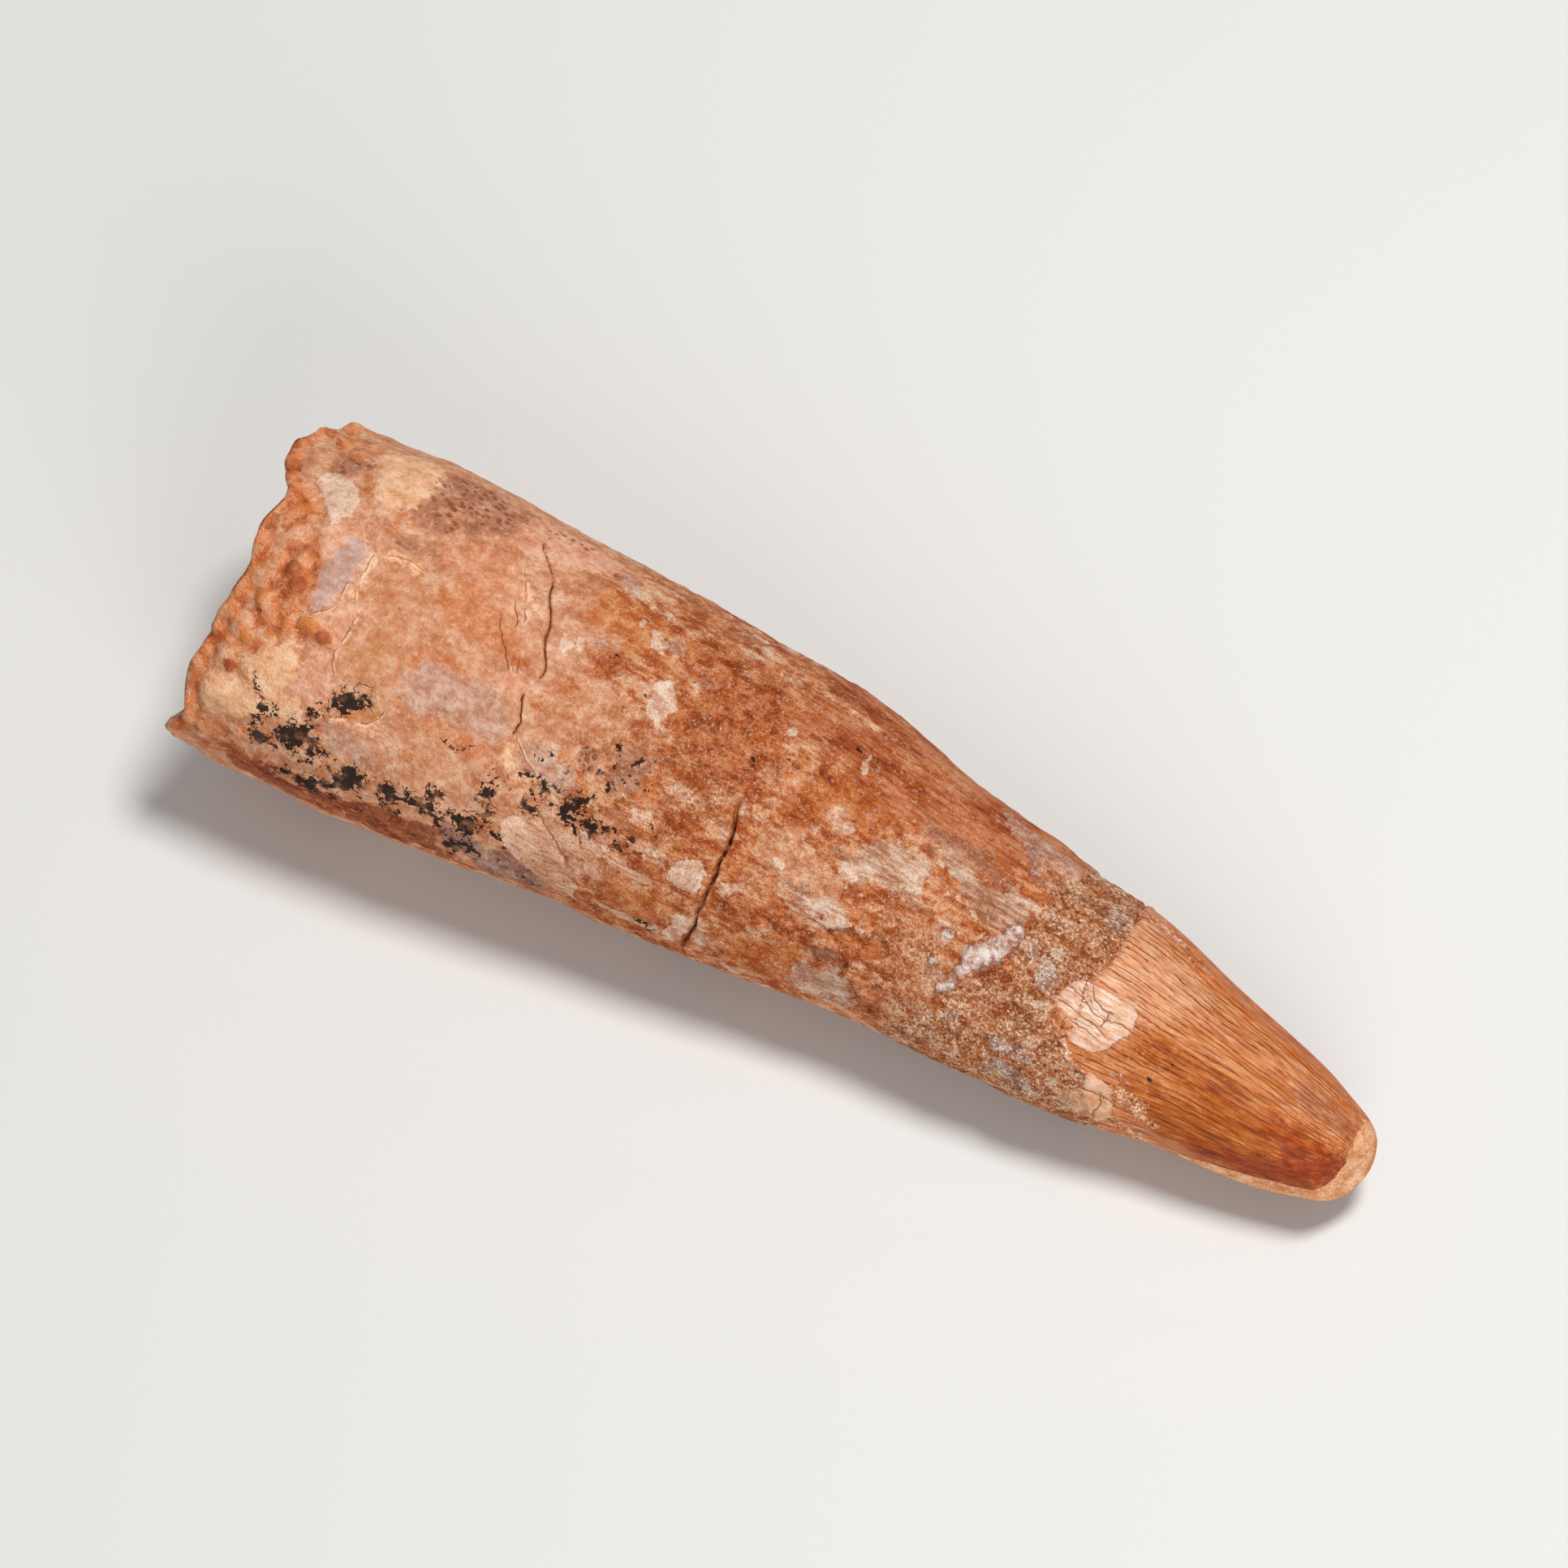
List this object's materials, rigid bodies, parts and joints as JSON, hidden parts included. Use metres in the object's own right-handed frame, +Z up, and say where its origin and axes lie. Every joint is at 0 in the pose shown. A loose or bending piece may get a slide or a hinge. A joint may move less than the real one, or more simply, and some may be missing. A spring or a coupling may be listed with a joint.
{
  "type": "fossil spinosaurus tooth with root",
  "caption": "Fossil spinosaurus tooth lying on its side: a long oval root with a broken end, a band of hard sand, a short ridged crown and a worn, blunt tip.",
  "frame": {"origin": "middle of the tooth's footprint, on the surface that it rests on", "axes": "+X from the broken end of the root to the worn tip, +Y towards the bulging side, +Z up from the resting face"},
  "size_m": [0.0772, 0.0243, 0.0185],
  "materials": {
    "fossil": "mineralised root and enamel, satin with a rough crust at the broken end"
  },
  "bodies": {
    "root": {"tooth": "fossil"}
  },
  "joints": []
}
